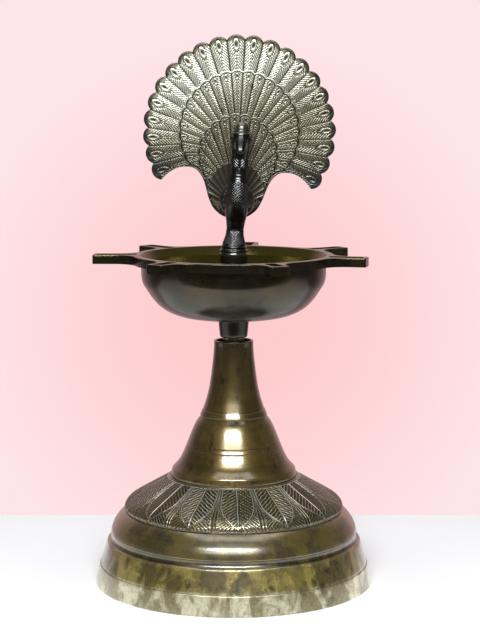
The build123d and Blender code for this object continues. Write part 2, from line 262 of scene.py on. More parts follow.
def attribute(tree, name):
    made = tree.nodes.new("ShaderNodeAttribute")
    made.attribute_name = name
    return made.outputs["Fac"]


def stretched(tree, vector, scale):
    made = tree.nodes.new("ShaderNodeMapping")
    made.inputs["Scale"].default_value = scale
    tree.links.new(vector, made.inputs["Vector"])
    return made.outputs["Vector"]


def height_of(tree, place):
    split_place = tree.nodes.new("ShaderNodeSeparateXYZ")
    tree.links.new(place, split_place.inputs[0])
    return split_place.outputs["Z"]


def zoned(tree, place, zones):
    """Colours that change with height: zones are (height, colour) from the lowest up."""
    low, high = zones[0][0], zones[-1][0]
    spread = tree.nodes.new("ShaderNodeMapRange")
    spread.inputs["From Min"].default_value = low * MM
    spread.inputs["From Max"].default_value = high * MM
    tree.links.new(height_of(tree, place), spread.inputs["Value"])
    stops = [((height - low) / (high - low), colour) for height, colour in zones]
    return ramp(tree, spread.outputs[0], *stops)


def facing_in(tree, place):
    """1 where a bowl's surface faces its axis or up, 0 where it faces out or down."""
    normal = tree.nodes.new("ShaderNodeTexCoord").outputs["Normal"]
    level = tree.nodes.new("ShaderNodeVectorMath")
    level.operation = "MULTIPLY"
    level.inputs[1].default_value = (1, 1, 0)
    tree.links.new(place, level.inputs[0])
    outward = tree.nodes.new("ShaderNodeVectorMath")
    outward.operation = "NORMALIZE"
    tree.links.new(level.outputs[0], outward.inputs[0])
    turned_out = tree.nodes.new("ShaderNodeVectorMath")
    turned_out.operation = "DOT_PRODUCT"
    tree.links.new(normal, turned_out.inputs[0])
    tree.links.new(outward.outputs[0], turned_out.inputs[1])
    upward = math_node(tree, "MULTIPLY", height_of(tree, normal), 0.6)
    lean_in = math_node(tree, "SUBTRACT", upward, turned_out.outputs["Value"])
    return ramp(tree, math_node(tree, "ADD", lean_in, 0.5), (0.4, 0.0), (0.6, 1.0))


def aged_brass(
    name,
    metal,
    patina,
    stain,
    rubbed_and_painted_highlight,
    gloss=(0.22, 0.42),
    metallic=0.6,
    coat=(0.7, 0.2),
    patina_range=(0.42, 0.62),
    stain_range=(0.6, 0.72),
    blotch=45.0,
    streak=(1.0, 1.0, 1.0),
    grain=0.15,
    wear_and_painted_highlight=0.6,
    inside=None,
    relief=None,
    tones=None,
):
    """Cast brass: clean metal under a mottled patina, dark stains, rubbed edges and ridges, and
    painted light.
    The meshes carry edge (1 on outer corners, and on the bird a painted highlight ring), relief (1
    on ridges, -1 in grooves) and a tone that scales the colour, which on the tail is painted
    highlight and painted shade and on the bird lightens the crest."""
    material = bpy.data.materials.new(name)
    material.use_nodes = True
    tree = material.node_tree
    tree.nodes.clear()
    output = tree.nodes.new("ShaderNodeOutputMaterial")
    shader = tree.nodes.new("ShaderNodeBsdfPrincipled")
    tree.links.new(shader.outputs[0], output.inputs[0])
    shader.inputs["Metallic"].default_value = metallic
    shader.inputs["Coat Weight"].default_value = coat[0]
    shader.inputs["Coat Roughness"].default_value = coat[1]
    shader.inputs["Coat IOR"].default_value = 1.85

    place = tree.nodes.new("ShaderNodeTexCoord").outputs["Object"]
    flow = stretched(tree, place, streak)
    broad = noise(tree, flow, blotch, 6.0, 0.62, 0.4)
    middle = noise(tree, flow, blotch * 2.7, 5.0, 0.6, 0.2)
    fine = noise(tree, place, blotch * 14, 3.0, 0.6)

    cover = ramp(tree, broad, (patina_range[0], 0.0), (patina_range[1], 1.0))
    zone = isinstance(metal[0], tuple)
    clean = zoned(tree, place, metal) if zone else metal
    worn = zoned(tree, place, patina) if zone else patina
    colour = mix(tree, cover, clean, worn)
    spots = ramp(tree, middle, (stain_range[0], 0.0), (stain_range[1], 1.0))
    colour = mix(tree, spots, colour, stain)
    if inside:
        colour = mix(tree, facing_in(tree, place), colour, inside)
    speckle = ramp(tree, fine, (0.35, 0.78), (0.7, 1.15))
    colour = mix(tree, 1.0, colour, speckle, "MULTIPLY")
    rough = math_node(tree, "MULTIPLY_ADD", broad, gloss[1] - gloss[0])
    rough.node.inputs[2].default_value = gloss[0] - 0.1

    # edges take the rubbed colour as wear; on the bird this same mix paints a highlight ring under
    # the crest
    edge = attribute(tree, "edge")
    bright = math_node(tree, "MULTIPLY", math_node(tree, "MAXIMUM", edge, 0.0), wear_and_painted_highlight)
    bright = math_node(tree, "MULTIPLY", bright, ramp(tree, middle, (0.35, 0.35), (0.6, 1.0)))
    colour = mix(tree, bright, colour, rubbed_and_painted_highlight)
    dark = math_node(tree, "MULTIPLY", edge, -0.85)
    colour = mix(tree, math_node(tree, "MAXIMUM", dark, 0.0), colour, stain)
    if relief:
        ridges, ridge_colour, grooves = relief
        level = math_node(tree, "MULTIPLY_ADD", attribute(tree, "relief"), 0.5)
        level.node.inputs[2].default_value = 0.5
        colour = mix(tree, ramp(tree, level, *ridges), colour, ridge_colour)
        groove = ramp(tree, level, *grooves)
        colour = mix(tree, groove, colour, stain)
        rough = math_node(tree, "ADD", rough, math_node(tree, "MULTIPLY", groove, 0.25))
    # a tone ramp multiplies the colour: on the tail it paints a silvery highlight and blue grey
    # shade, on the bird it lightens the crest
    if tones:
        tone = math_node(tree, "MULTIPLY_ADD", attribute(tree, "tone"), 0.5)
        tone.node.inputs[2].default_value = 0.5
        colour = mix(tree, 1.0, colour, ramp(tree, tone, *tones), "MULTIPLY")
    tree.links.new(colour, shader.inputs["Base Color"])
    tree.links.new(rough, shader.inputs["Roughness"])

    dents = noise(tree, place, blotch * 5, 2.0, 0.5)
    surface = math_node(tree, "ADD", math_node(tree, "MULTIPLY", fine, 0.35), dents)
    bump = tree.nodes.new("ShaderNodeBump")
    bump.inputs["Strength"].default_value = grain
    bump.inputs["Distance"].default_value = 0.4 * MM
    tree.links.new(surface, bump.inputs["Height"])
    tree.links.new(bump.outputs[0], shader.inputs["Normal"])
    tree.links.new(bump.outputs[0], shader.inputs["Coat Normal"])
    return material


foot_brass = aged_brass(
    "foot_brass",
    metal=(
        (0, (0.95, 0.90, 0.64)),
        (21, (0.88, 0.82, 0.54)),
        (25, (0.46, 0.37, 0.10)),
        (47, (0.40, 0.31, 0.075)),
        (57, (0.16, 0.12, 0.024)),
        (82, (0.17, 0.127, 0.026)),
        (95, (0.20, 0.155, 0.04)),
    ),
    patina=(
        (0, (0.42, 0.38, 0.22)),
        (21, (0.26, 0.22, 0.09)),
        (25, (0.15, 0.115, 0.028)),
        (47, (0.11, 0.083, 0.020)),
        (57, (0.075, 0.056, 0.013)),
        (82, (0.07, 0.052, 0.012)),
        (95, (0.075, 0.06, 0.017)),
    ),
    stain=(0.018, 0.015, 0.008),
    rubbed_and_painted_highlight=(0.52, 0.44, 0.22),
    gloss=(0.26, 0.46),
    metallic=0.62,
    coat=(1.0, 0.25),
    patina_range=(0.44, 0.54),
    stain_range=(0.54, 0.72),
    blotch=30.0,
    streak=(1.0, 1.0, 0.6),
    wear_and_painted_highlight=0.2,
)
stem_brass = aged_brass(
    "stem_brass",
    metal=(
        (120, (0.19, 0.125, 0.023)),
        (200, (0.17, 0.112, 0.021)),
        (235, (0.10, 0.066, 0.012)),
        (274, (0.062, 0.040, 0.007)),
    ),
    patina=(
        (120, (0.10, 0.066, 0.013)),
        (200, (0.09, 0.060, 0.012)),
        (235, (0.052, 0.034, 0.007)),
        (274, (0.034, 0.022, 0.005)),
    ),
    stain=(0.03, 0.021, 0.006),
    rubbed_and_painted_highlight=(0.30, 0.25, 0.12),
    gloss=(0.36, 0.54),
    metallic=0.75,
    coat=(1.0, 0.17),
    stain_range=(0.56, 0.68),
    blotch=34.0,
    streak=(1.0, 1.0, 0.5),
    wear_and_painted_highlight=0.35,
)
bowl_brass = aged_brass(
    "bowl_brass",
    metal=(
        (299, (0.016, 0.013, 0.007)),
        (305, (0.024, 0.019, 0.007)),
        (322, (0.072, 0.068, 0.050)),
        (334, (0.056, 0.042, 0.017)),
        (348, (0.044, 0.029, 0.008)),
        (372, (0.030, 0.024, 0.012)),
    ),
    patina=(
        (299, (0.008, 0.0065, 0.0035)),
        (322, (0.034, 0.030, 0.019)),
        (350, (0.012, 0.010, 0.005)),
        (372, (0.012, 0.010, 0.006)),
    ),
    stain=(0.010, 0.009, 0.006),
    rubbed_and_painted_highlight=(0.22, 0.21, 0.19),
    gloss=(0.26, 0.42),
    metallic=0.8,
    coat=(0.3, 0.18),
    blotch=30.0,
    inside=(0.125, 0.10, 0.018),
)
thread_brass = aged_brass(
    "thread_brass",
    metal=(0.35, 0.28, 0.13),
    patina=(0.16, 0.13, 0.06),
    stain=(0.03, 0.026, 0.016),
    rubbed_and_painted_highlight=(0.7, 0.6, 0.35),
    gloss=(0.3, 0.45),
    metallic=0.9,
    coat=(0.2, 0.3),
    blotch=60.0,
)
bird_bronze = aged_brass(
    "bird_bronze",
    metal=(0.013, 0.010, 0.006),
    patina=(0.007, 0.005, 0.0035),
    stain=(0.006, 0.005, 0.004),
    # on the bird the edge colour paints only the highlight ring under the crest
    rubbed_and_painted_highlight=(0.22, 0.22, 0.21),
    gloss=(0.34, 0.46),
    metallic=0.85,
    coat=(0.65, 0.26),
    blotch=60.0,
    relief=(((0.66, 0.0), (0.95, 0.45)), (0.20, 0.21, 0.21), ((0.15, 0.9), (0.42, 0.0))),
    tones=((0.5, 1.0), (1.0, (9.0, 9.5, 12.5))),
)
tail_brass = aged_brass(
    "tail_brass",
    metal=(0.44, 0.40, 0.28),
    patina=(0.27, 0.235, 0.13),
    stain=(0.018, 0.016, 0.011),
    rubbed_and_painted_highlight=(1.0, 0.98, 0.88),
    gloss=(0.34, 0.5),
    metallic=0.7,
    coat=(0.35, 0.3),
    wear_and_painted_highlight=1.0,
    grain=0.04,
    blotch=32.0,
    relief=(((0.56, 0.0), (0.85, 0.8)), (0.78, 0.76, 0.64), ((0.14, 0.97), (0.46, 0.0))),
    # this ramp paints blue grey shade at its low end and a silvery highlight at its high end
    tones=(
        (0.0, (0.07, 0.08, 0.10)),
        (0.2, (0.10, 0.095, 0.07)),
        (0.5, (0.30, 0.28, 0.22)),
        (1.0, (1.05, 1.12, 1.16)),
    ),
)
shoulder_brass = aged_brass(
    "shoulder_brass",
    metal=(0.22, 0.17, 0.05),
    patina=(0.12, 0.092, 0.028),
    stain=(0.014, 0.011, 0.006),
    rubbed_and_painted_highlight=(0.5, 0.5, 0.46),
    gloss=(0.28, 0.42),
    metallic=0.8,
    coat=(0.35, 0.2),
    blotch=30.0,
    relief=(((0.55, 0.0), (0.85, 0.85)), (0.85, 0.90, 0.84), ((0.15, 0.97), (0.48, 0.0))),
)

for name, material in (
    ("base_collar", foot_brass),
    ("base_foot", foot_brass),
    ("stem_column", stem_brass),
    ("stem_spigot", thread_brass),
    ("neck_bush", stem_brass),
    ("bowl_stud", thread_brass),
    ("bowl_boss", bowl_brass),
    ("bowl_pan", bowl_brass),
    ("bowl_post", bowl_brass),
    ("finial_stud", thread_brass),
    ("peacock", bird_bronze),
    ("tail_fan", tail_brass),
    ("tail_rivets", tail_brass),
):
    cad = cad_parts[name]
    cad.data.materials.clear()
    cad.data.materials.append(material)


# ---------------------------------------------------------------- foot
# The casting under its engraving: up the outside, over the deck, and down the hollow
foot_outline = [
    # lowest band
    (156.5, 0, 0.8),
    (151.8, 21.4, 0.7),
    (150.7, 21.9, 0.3),
    # middle band and the cove above it
    (150.6, 22.6, 0.4),
    (142.9, 48.0, 1.2),
    (139.6, 49.2, 1.2),
    (138.2, 52.4, 1.6),
    (138.2, 55.4, 0.6),
    # bulged upper band, and the groove under the shoulder
    (139.2, 56.5, 0.7),
    (137.9, 62.5, 2.5),
    (135.2, 68.9, 2.5),
    (130.9, 75.0, 2.5),
    (127.4, 78.7, 2.0),
    (123.5, 81.6, 0.7),
    (121.4, 81.9, 0.3),
    (121.4, 83.5, 0.3),
    (123.4, 83.8, 0.4),
    # under the engraved shoulder, up to the lip around the stem
    (122.6, 84.6, 0.4),
    (122.0, 88.4, 2.0),
    (118.2, 92.4, 2.0),
    (75.4, 118.2, 0.3),
    (73.7, stem_foot, 0.3),
    (73.6, stem_foot + 1.0, 0.4),
    (71.4, stem_foot + 1.0, 0.4),
    (71.3, stem_foot, 0.2),
    (spigot_bore, stem_foot, 0.4),
    (spigot_bore, collar_top, 0.3),
    # down the hollow
    (68.7, collar_top, 1.5),
    (116.5, 83.7, 1.5),
    (116.5, 76.7, 2.0),
    (131.8, 56.7, 3.0),
    (133.3, 48.3, 3.0),
    (145.6, 21.4, 3.0),
    (149.2, 0, 0.6),
]
lathe(
    "foot_casting",
    foot_outline,
    "base",
    "foot_brass",
    foot_brass,
    replaced=["base_foot"],
    segments=288,
    closed=True,
    step=2.4,
)
lathe(
    "foot_collar",
    [
        (58, collar_foot, 0.8),
        (58, collar_top, 0.3),
        (spigot_bore, collar_top, 0.2),
        (spigot_bore, collar_foot, 0.8),
    ],
    "base",
    "foot_brass",
    foot_brass,
    replaced=["base_collar"],
    closed=True,
)

# Engraved leaves around the shoulder, with spears between them
leaf_count = 14
leaf_turn = radians(272.5)
vein_pitch = 4.6
hatch_pitch = 4.2
engraving_height = 0.55
engraving_sink = 0.28
# the shoulder's section, from the lip around the stem down over its rounded edge
slope_path = np.array(
    [
        (73.9, 119.85),
        (112.0, 97.9),
        (116.6, 95.1),
        (120.0, 92.2),
        (122.2, 89.2),
        (123.2, 86.6),
        (123.3, 84.3),
    ]
)
path_length = np.concatenate([[0], np.cumsum(np.linalg.norm(np.diff(slope_path, axis=0), axis=1))])
slope_length = path_length[-1]
rows, columns_in_leaf = 76, 80
columns = leaf_count * columns_in_leaf
down = np.linspace(0, slope_length, rows)
turn = np.arange(columns)[:, None] * 2 * pi / columns
slope = np.stack([np.interp(down, path_length, slope_path[:, k]) for k in (0, 1)], -1)
slope_along = np.gradient(slope, down, axis=0)
slope_along /= np.linalg.norm(slope_along, axis=1, keepdims=True)
slope_up = np.stack([-slope_along[:, 1], slope_along[:, 0]], -1)
radius = slope[None, :, 0]

# how far each place is along and beside its leaf, in shares and in millimetres
half_leaf = pi / leaf_count
from_leaf = (turn - leaf_turn) / (2 * half_leaf)
leaf_number = np.round(from_leaf)
aside = (from_leaf - leaf_number) * 2
share = (down / slope_length)[None, :]
leaf_edge = np.interp(
    share, [0, 0.25, 0.5, 0.65, 0.8, 0.9, 0.95], [0.86, 0.86, 0.79, 0.63, 0.40, 0.18, 0.0]
)
across = np.abs(aside) * half_leaf * radius
outside = (np.abs(aside) - leaf_edge) * half_leaf * radius
from_spear = (1 - np.abs(aside)) * half_leaf * radius
slope_mm = down[None, :] + 0 * turn

# veins in the leaves, cross-hatched on half of every other one, and stripes beside the spears
wobble = 0.35 * np.sin(slope_mm * 0.9 + leaf_number * 2.3) + 0.2 * np.sin(turn * 61)
vein = np.cos(2 * pi * (slope_mm - 0.84 * across + wobble) / vein_pitch)
hatch = np.cos(2 * pi * (slope_mm + 0.9 * across) / hatch_pitch)
crossed = (aside > 0) & (np.mod(leaf_number, 2) == 0)
vein = np.where(crossed, np.minimum(vein, 0.6 + hatch), vein)
veins = vein * smooth_step(0.5, 1.3, -outside) * smooth_step(0.9, 1.9, across)
stripe = np.cos(2 * pi * (slope_mm + 0.95 * from_spear + wobble) / hatch_pitch)
stripes = stripe * smooth_step(3.0, 4.0, outside) * smooth_step(3.4, 4.6, from_spear)
spear_width = 3.6 * smooth_step(0.05, 0.8, share)
leaf_open = 1.0 * (share < 0.965)
ridges = np.maximum.reduce(
    [
        veins * 0.8,
        stripes * 0.75,
        bump_line(outside, 0.65) * leaf_open,
        bump_line(outside - 2.3, 0.5) * 0.8 * leaf_open,
        bump_line(across, 0.75) * smooth_step(0.97, 0.9, share),
        bump_line(from_spear, 0.5) * 0.8 * smooth_step(1.2, 2.2, outside),
        bump_line(from_spear - spear_width, 0.55) * 0.8 * smooth_step(1.2, 2.2, outside),
        bump_line(slope_mm - slope_length + 1.0, 0.9) * 0.4,
        bump_line(slope_mm - 0.8, 0.7) * 0.7,
        -0.15 + 0 * slope_mm,
    ]
)
ends = smooth_step(0, 0.9, slope_mm) * smooth_step(0, 0.7, slope_length - slope_mm)
rise = (engraving_height * ridges - engraving_sink) * ends
top = slope + slope_up * rise[..., None]
under = [(120.6, 84.3), (119.5, 89.5), (114.5, 94.0), (73.4, 118.3)]
loop = np.concatenate([top, np.broadcast_to(under, (columns, len(under), 2))], axis=1)
sections = np.stack([loop[..., 0] * np.cos(turn), loop[..., 0] * np.sin(turn), loop[..., 1]], -1)
loop_relief = np.concatenate(
    [np.clip(ridges * 1.5 - 0.55, -1, 1), np.zeros((columns, len(under)))], axis=1
)
vertices, faces = loft(sections, True)
make_object(
    "foot_engraving", vertices, faces, "base", "foot_brass", shoulder_brass, relief=loop_relief
)

# ---------------------------------------------------------------- stem
stem_outline = [
    (70.7, stem_foot, 0.5),
    (70.8, 123.0, 1.0),
    (69.6, 128.2, 1.4),
    (68.9, 129.6, 0.7),
    # flare and bell, with two engraved lines
    (66.6, 131.9, 1.2),
    (61.6, 137.6, 4.0),
    (57.2, 146.0, 4.0),
    (54.3, 152.9, 0.0),
    (53.45, 153.5, 0.3),
    (53.8, 154.1, 0.0),
    (52.2, 157.9, 0.0),
    (51.35, 158.5, 0.3),
    (51.8, 159.1, 0.0),
    (49.2, 166.0, 4.0),
    (45.7, 174.7, 4.0),
    (41.4, 183.2, 3.0),
    (37.3, 188.3, 0.6),
    (36.9, 189.0, 0.2),
    # raised ring, then the neck
    (37.8, 189.5, 0.5),
    (35.3, 195.9, 0.6),
    (34.6, 196.2, 0.2),
    (34.3, 197.0, 0.5),
    (30.2, 209.4, 4.0),
    (27.3, 221.8, 4.0),
    (25.4, 234.2, 4.0),
    (22.8, 256.3, 4.0),
    (22.0, 268.0, 2.0),
    (22.0, stem_top, 0.7),
    (neck_bore, stem_top, 0.7),
    (neck_bore, bush_foot, 0.2),
    # down the hollow
    (16.0, bush_foot, 0.4),
    (16.0, 238.0, 2.0),
    (23.7, 220.8, 4.0),
    (30.7, 195.7, 3.0),
    (33.1, 189.1, 2.0),
    (42.1, 174.6, 4.0),
    (49.4, 155.9, 4.0),
    (57.7, 137.3, 4.0),
    (61.6, spigot_top, 1.5),
    (spigot_bore, spigot_top, 0.4),
    (spigot_bore, stem_foot, 0.4),
]
lathe(
    "stem_casting",
    stem_outline,
    "stem",
    "stem_brass",
    stem_brass,
    replaced=["stem_column"],
    segments=224,
    closed=True,
    step=1.7,
)
lathe(
    "neck_bush_ring",
    [
        (neck_bore, bush_foot, 0.4),
        (neck_bore, bush_top - 0.8, 0.2),
        (18.6, bush_top, 0.3),
        (10.6, bush_top, 0.3),
        (stud_bore, bush_top - 1.1, 0.2),
        (stud_bore, bush_foot + 1.0, 0.2),
        (10.6, bush_foot, 0.3),
    ],
    "stem",
    "stem_brass",
    stem_brass,
    replaced=["neck_bush"],
    segments=128,
    closed=True,
)

# ---------------------------------------------------------------- screws and the pieces they hold
lathe(
    "stem_screw_ring",
    [
        (spigot_radius, spigot_foot, 1.0),
        (spigot_radius, spigot_top, 0.8),
        (44, spigot_top, 0.8),
        (44, spigot_foot, 0.8),
    ],
    "stem_screw",
    "thread_brass",
    thread_brass,
    replaced=["stem_spigot"],
    segments=240,
    closed=True,
    step=0.4,
    thread=(spigot_radius, spigot_foot, stem_foot, 3.0, 1.1),
)
lathe(
    "bowl_screw_stud",
    [
        (0.2, stud_foot),
        (8.4, stud_foot, 0.3),
        (stud_radius, stud_foot + 1.2, 0.3),
        (stud_radius, bush_top, 0.2),
        (12.4, bush_top, 0.4),
        (12.4, boss_foot, 0.4),
        (stud_radius, boss_foot, 0.2),
        (stud_radius, stud_top - 1.0, 0.3),
        (8.4, stud_top, 0.3),
        (0.2, stud_top),
    ],
    "bowl_screw",
    "thread_brass",
    thread_brass,
    replaced=["bowl_stud"],
    segments=96,
    step=0.4,
    thread=(stud_radius, stud_foot, bush_top, 3.0, 0.9),
)
lathe(
    "finial_screw_stud",
    [
        (0.2, pin_foot),
        (4.3, pin_foot, 0.2),
        (pin_radius, pin_foot + 0.8, 0.2),
        (pin_radius, pin_top - 1.0, 0.3),
        (4.2, pin_top, 0.2),
        (0.2, pin_top),
    ],
    "finial_screw",
    "thread_brass",
    thread_brass,
    replaced=["finial_stud"],
    segments=64,
    step=0.25,
    thread=(pin_radius, pin_foot, pin_top, 1.5, 0.5),
)
lathe(
    "bowl_boss_cone",
    [
        (stud_bore, boss_foot, 0.3),
        (14.9, boss_foot, 0.8),
        (15.5, boss_foot + 1.6, 0.8),
        (16.0, boss_foot + 6.5, 1.0),
        (17.0, boss_top - 5.2, 1.2),
        (17.7, boss_top, 0.2),
        (stud_bore, boss_top, 0.3),
    ],
    "bowl",
    "bowl_brass",
    bowl_brass,
    replaced=["bowl_boss"],
    segments=160,
    closed=True,
)
lathe(
    "bowl_post_column",
    [
        (stud_bore, post_foot, 0.3),
        (15.2, post_foot, 0.3),
        (15.2, post_foot + 4.4, 1.0),
        (15.2, post_top - 13.2, 1.0),
        (15.5, post_top - 7.2, 2.0),
        (15.4, post_top - 2.2, 1.6),
        (14.6, post_top, 0.8),
        (pin_bore, post_top, 0.4),
        (pin_bore, stud_top + 0.4, 0.4),
        (stud_bore, stud_top + 0.3, 0.4),
    ],
    "bowl",
    "bowl_brass",
    bowl_brass,
    replaced=["bowl_post"],
    segments=160,
    closed=True,
)

# ---------------------------------------------------------------- tail
tilt = radians(3.6)
tail_x = 6.5
tail_z = finial_seat + 132.1


def on_tail(flat, height):
    """Lamp coordinates of points in the tail's own plane, raised from its back."""
    side, up = flat[..., 0], flat[..., 1]
    x = tail_x + side * cos(tilt) + up * sin(tilt)
    z = tail_z - side * sin(tilt) + up * cos(tilt)
    return np.stack([x, tail_back - height + 0 * x, z], -1)


def smooth_path(points, per_run):
    """A smooth curve through points, by Catmull-Rom."""
    knots = np.array(points, float)
    knots = np.vstack([2 * knots[0] - knots[1], knots, 2 * knots[-1] - knots[-2]])
    t = np.linspace(0, 1, per_run, endpoint=False)[:, None]
    runs = []
    for a, b, c, d in zip(knots, knots[1:], knots[2:], knots[3:]):
        bend = 2 * a - 5 * b + 4 * c - d
        twist = 3 * b - a - 3 * c + d
        runs.append(0.5 * (2 * b + (c - a) * t + bend * t**2 + twist * t**3))
    return np.vstack(runs + [knots[-2:-1]])


# Lower edge of the fan: an arch under each side, then the shell's side down to its foot
arch = smooth_path(
    [
        (83.2, -57.6), (75, -49.2), (66, -43.8), (56, -42), (47, -43.8), (40.4, -49.8),
        (36, -57.5), (33, -66), (29.6, -76), (23.8, -86.3), (13.5, -94.2), (0, -97.2),
    ],
    14,
)


def tier_outline(middle, quill, tip, spacing, count, columns, inset):
    """The scalloped edge of one tier, closed along the arch."""
    reach = spacing * count / 2
    turn = np.radians(np.linspace(-reach, reach, count * columns + 1))
    off = np.mod(turn + radians(reach), radians(spacing)) - radians(spacing) / 2
    edge = quill * np.cos(off) + np.sqrt(tip**2 - (quill * np.sin(off)) ** 2)
    scallops = np.array(middle) + edge[:, None] * np.stack([np.sin(turn), np.cos(turn)], -1)
    lower = arch[::-1]
    floor_here = np.interp(np.abs(scallops[:, 0]), lower[:, 0], lower[:, 1], right=-200)
    scallops = scallops[scallops[:, 1] > floor_here + inset]
    in_tier = np.linalg.norm(arch - np.array(middle), axis=1) < quill + tip - 3
    side = arch[in_tier] + np.array([0, inset])
    side[:, 0] = np.maximum(side[:, 0] - inset, 0)
    return np.vstack([scallops, side, side[-2::-1] * [-1, 1]])


def feather_frame(flat, hub, middle, tip_radius, spacing, odd):
    """For points in the tail's plane: which feather, and how far from its tip, axis and sides."""
    from_hub = flat - np.array(hub)
    reach = np.hypot(from_hub[..., 0], from_hub[..., 1])
    bearing = np.arctan2(from_hub[..., 0], from_hub[..., 1])
    turns = np.radians(np.arange(-178, 178.1, 0.25))
    tips = tip_radius * np.stack([np.sin(turns), np.cos(turns)], -1)
    tips = np.array(middle) + tips - np.array(hub)
    tip_bearing = np.unwrap(np.arctan2(tips[:, 0], tips[:, 1]))
    around = np.interp(bearing, tip_bearing, turns) / radians(spacing)
    number = np.round(around) if odd else np.floor(around) + 0.5

    def bearing_of(place):
        return np.interp(place * radians(spacing), turns, tip_bearing)

    def length_of(place):
        return np.interp(place * radians(spacing), turns, np.hypot(tips[:, 0], tips[:, 1]))

    axis = bearing_of(number)
    along = length_of(number) - reach * np.cos(bearing - axis)
    aside = reach * np.sin(bearing - axis)
    left = reach * np.sin(bearing - bearing_of(number - 0.5))
    right = reach * np.sin(bearing_of(number + 0.5) - bearing)
    return number, along, aside, np.minimum(left, right)


def feathers(along, aside, side_gap, edge_gap, number, eye, pitch, bead, pits, depth):
    """Relief of a tier of feathers: slanted barbs, a quill, eyes and the gaps between feathers.
    Pitch is the barbs' spacing, depth their height, and pits the strength of the dots in the gaps.
    The result is in units that tail_tier turns into a height."""
    eye_place, eye_long, eye_wide = eye
    width = side_gap + np.abs(aside)
    eye_long_here = np.where(along > eye_place, eye_long * 1.25, eye_long)
    ring = np.hypot((along - eye_place) / eye_long_here, aside / eye_wide)
    below_eye = smooth_step(eye_place + eye_long, eye_place + eye_long + 2.5, along)
    clear_of_eye = smooth_step(1.15, 1.6, ring)
    clear_of_eye *= smooth_step(eye_place - eye_long, eye_place, along)
    slanted = along - 1.25 * np.abs(aside) + 0.25 * np.sin(number * 5)
    barb = 2 * np.abs(np.sin(pi * slanted / pitch)) - 1
    barbs = barb * smooth_step(0.25, 0.9, side_gap)
    barbs *= smooth_step(0.3, 0.9, np.abs(aside)) * clear_of_eye
    groove = bump_line(side_gap, 0.5)
    beads = 0.5 + 0.5 * np.cos(2 * pi * along / (pitch * 1.15) + number)
    relief = (
        depth * barbs
        + 0.14 * np.sin(pi * np.clip(np.abs(aside) / np.maximum(width, 0.1), 0, 1)) * clear_of_eye
        + 0.75 * bump_line(aside, 0.42) * below_eye
        - 0.9 * bump_line(np.abs(aside) - 0.95, 0.35) * below_eye * (0.5 + 0.5 * pits * beads)
        - 1.4 * groove * (1 - pits * 0.5 * beads)
        + 1.0 * bump_line(ring - 1, 0.24)
        - 1.3 * bump_line(ring, 0.5)
        - 0.8 * bump_line(ring - 1.55, 0.22)
    )
    if bead:
        relief = relief * smooth_step(1.6, 3.0, edge_gap)
        relief += 1.8 * bump_line(edge_gap - 0.9, 0.95) - 1.6 * bump_line(edge_gap - 2.8, 0.6)
    return relief


def tail_tier(
    name,
    middle,
    hub,
    quill,
    tip,
    spacing,
    count,
    columns,
    levels,
    visible,
    relief_of,
    tone,
    replaced=(),
    painted_tip_shade=0.0,
    beaded=0.0,
    core=None,
):
    """A closed plate with feathers in relief on its front, in degrees and millimetres.
    Each feather's round tip is an arc of radius tip about a point that lies quill from the middle.
    Levels are the plate's back and front heights. Feathers spread from the hub, and the plate's
    rings shrink towards the core, which sees the whole of its edge."""
    back, front = levels
    core = np.array(core or hub)
    inset = 0 if back == 0 else 0.25
    outline = tier_outline(middle, quill, tip, spacing, count, columns, inset)
    out = outline - core
    length = np.hypot(out[:, 0], out[:, 1])
    deep = np.arange(0, visible, 0.46)
    shares = [np.maximum(1 - d / length, 0.03) for d in deep]
    shares += [np.minimum(shares[-1], 0.03 + 0.5 * shares[-1]), np.full(len(outline), 0.02)]
    full = np.ones(len(outline))
    rings = [(full * 0.02, back), (full * 0.5, back), (1 - 0.6 / length, back), (full, back + 0.5)]
    lift = front - 0.7
    if lift > back + 1:
        rings.append((full, lift))
    # the tone of each ring holds the tail's painted highlight and painted shade
    sections, reliefs, tones, edges = [], [], [], []
    for share, height in rings:
        flat = core + out * share[:, None]
        sections.append(on_tail(flat, height))
        reliefs.append(np.zeros(len(outline)))
        tones.append(tone(flat))
        edges.append(full * (0.8 if height > back else 0.0))
    for k, share in enumerate(shares):
        flat = core + out * share[:, None]
        edge_gap = (1 - share) * length
        number, along, aside, side_gap = feather_frame(
            flat, hub, middle, quill + tip, spacing, count % 2 == 1
        )
        relief = relief_of(along, aside, side_gap, edge_gap, number)
        if k >= len(deep):
            relief = relief * 0 - 1
        round_off = 0.75 * np.exp(-((edge_gap / 0.7) ** 2))
        sections.append(on_tail(flat, front + 0.32 * relief - round_off))
        reliefs.append(np.clip(relief, -1, 1))
        # the feather tips near the plate's edge are darkened with painted shade
        tones.append(tone(flat) - painted_tip_shade * smooth_step(5.5, 1.5, edge_gap))
        edges.append(beaded * bump_line(edge_gap - 0.6, 1.2))
    vertices, faces = loft(np.array(sections), False)
    make_object(
        name, vertices, faces, "finial", "tail_brass", tail_brass, replaced,
        sharp=60, relief=np.array(reliefs), tone=np.array(tones), edge=np.array(edges),
    )


# Each tier's eye is given by how far it lies from the feather's tip, its half length and half width
outer_relief = partial(
    feathers, eye=(10.6, 4.6, 2.5), pitch=3.6, bead=False, pits=0.0, depth=0.85
)
middle_relief = partial(
    feathers, eye=(7.6, 2.7, 1.6), pitch=3.3, bead=True, pits=0.8, depth=0.5
)
inner_relief = partial(
    feathers, eye=(7.2, 2.5, 1.45), pitch=3.1, bead=True, pits=0.8, depth=0.5
)


def shell_relief(along, aside, side_gap, edge_gap, number):
    """Ribs that stand out at the shell's edge and fade below it."""
    fade = np.exp(-np.maximum(edge_gap, 0) / 13)
    rib = 1.5 * bump_line(aside, 0.8) * fade
    return rib + 1.1 * bump_line(edge_gap - 0.6, 0.6) - 0.8 * bump_line(side_gap, 0.6) * fade


